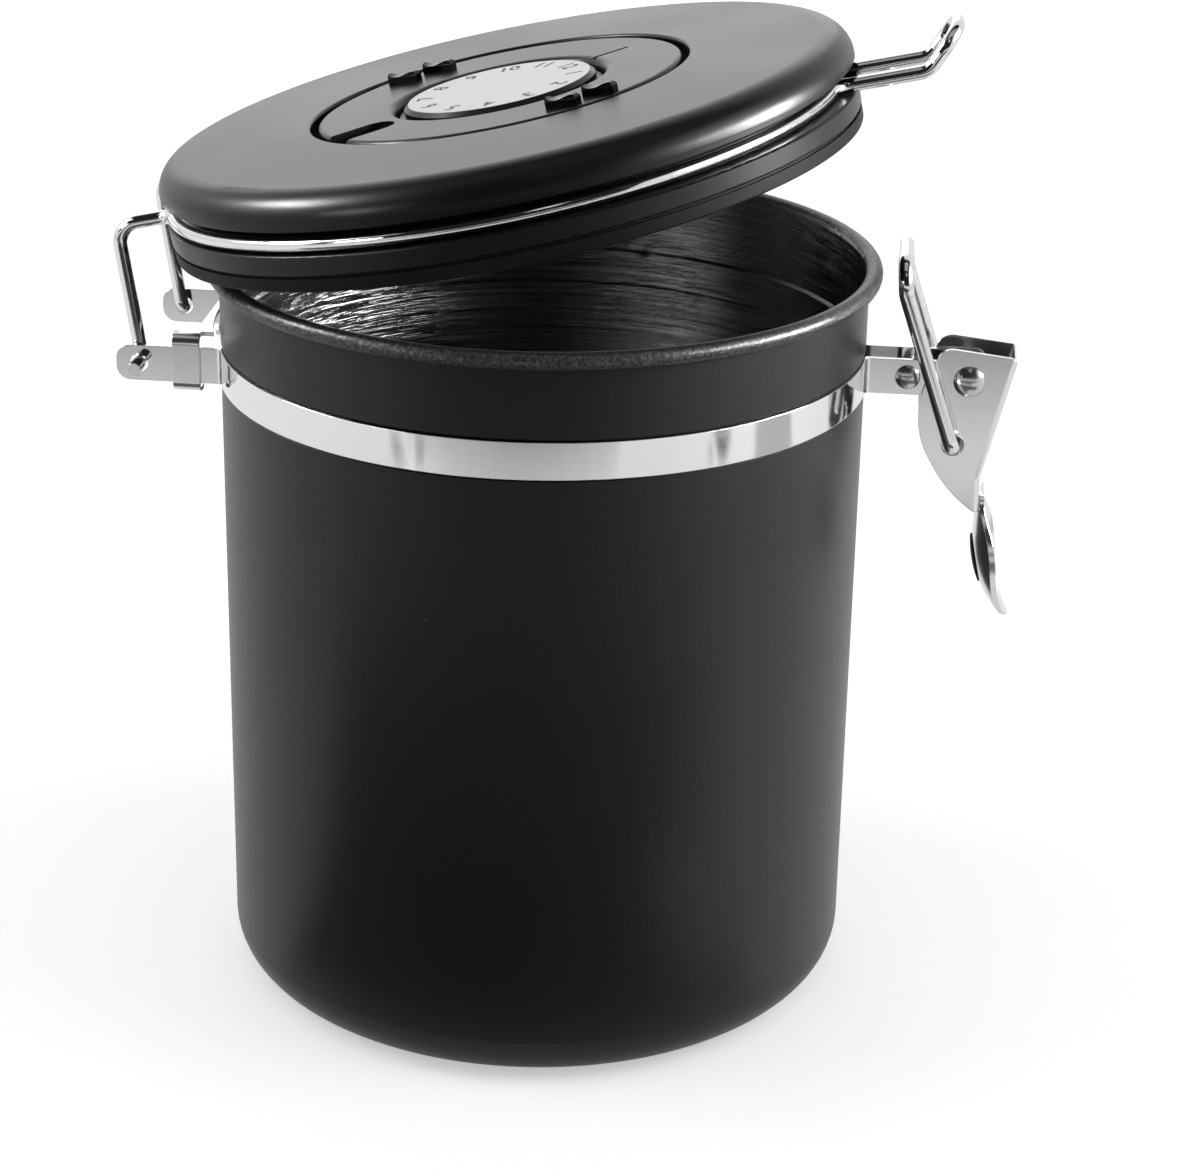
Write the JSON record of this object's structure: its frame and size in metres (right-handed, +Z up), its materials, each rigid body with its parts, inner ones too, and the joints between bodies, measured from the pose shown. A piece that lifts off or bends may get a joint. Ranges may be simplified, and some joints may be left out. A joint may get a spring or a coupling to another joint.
{
  "type": "coffee canister with valve",
  "caption": "Round steel canister with a wire-hinged clamp lid, an over-centre latch, a turning date dial and a one-way valve in the lid.",
  "frame": {"origin": "middle of the flat ring that the canister stands on", "axes": "+Z up along the canister's axis; +X from the hinge to the latch"},
  "size_m": [0.1665, 0.1284, 0.1882],
  "materials": {
    "black_steel": "matte black powder coat outside, brushed steel inside",
    "polished_steel": "polished",
    "wire_steel": "bright drawn wire",
    "lid_plastic": "matte, finely textured",
    "dial_plastic": "matte, finely textured",
    "nub_plastic": "glossy black",
    "plate_white": "white, printed with plain numbers",
    "silicone": "black silicone",
    "valve_silicone": "translucent silicone",
    "filter_paper": "filter fleece",
    "screw_steel": "zinc-plated"
  },
  "bodies": {
    "canister": {"canister_shell": "black_steel", "band_front": "polished_steel", "band_rear": "polished_steel", "hinge_bridge": "polished_steel", "latch_spacer": "polished_steel", "spacer_rivet": "polished_steel", "pivot_rivet": "polished_steel"},
    "lid": {"lid_wire": "wire_steel", "lid_base": "lid_plastic", "lid_seal": "silicone", "lid_cover": "lid_plastic", "dial_hub": "dial_plastic", "number_plate": "plate_white", "hub_screw": "screw_steel", "valve_cage": "lid_plastic", "filter_disc": "filter_paper", "filter_grille": "lid_plastic", "lid_screws": "screw_steel"},
    "dial": {"dial_ring": "dial_plastic", "grip_nubs": "nub_plastic"},
    "valve": {"valve_flap": "valve_silicone"},
    "lever": {"latch_lever": "polished_steel", "thumb_pad": "silicone"},
    "bail": {"latch_bail": "wire_steel"}
  },
  "joints": [
    {"name": "lid_hinge", "type": "hinge", "parent": "canister", "child": "lid", "pos_m": [-0.0726, 0, 0.12225], "axis": [0, -1, 0], "range_deg": [-12.5, 187.5]},
    {"name": "dial_turn", "type": "hinge", "parent": "lid", "child": "dial", "pos_m": [-0.00642, 0, 0.16145], "axis": [-0.2164, 0, 0.9763], "continuous": true},
    {"name": "valve_lift", "type": "slide", "parent": "lid", "child": "valve", "axis": [-0.2164, 0, 0.9763], "range_m": [0, 0.001], "stiffness_N_per_m": 20},
    {"name": "lever_lift", "type": "hinge", "parent": "canister", "child": "lever", "pos_m": [0.0792, 0, 0.12225], "axis": [0, -1, 0], "range_deg": [0, 120]},
    {"name": "bail_swing", "type": "hinge", "parent": "lever", "child": "bail", "pos_m": [0.0769, 0, 0.10985], "axis": [0, 1, 0], "range_deg": [0, 120]}
  ],
  "couplings": [
    {"joint": "bail_swing", "follows": "lever_lift", "ratio": 1}
  ]
}
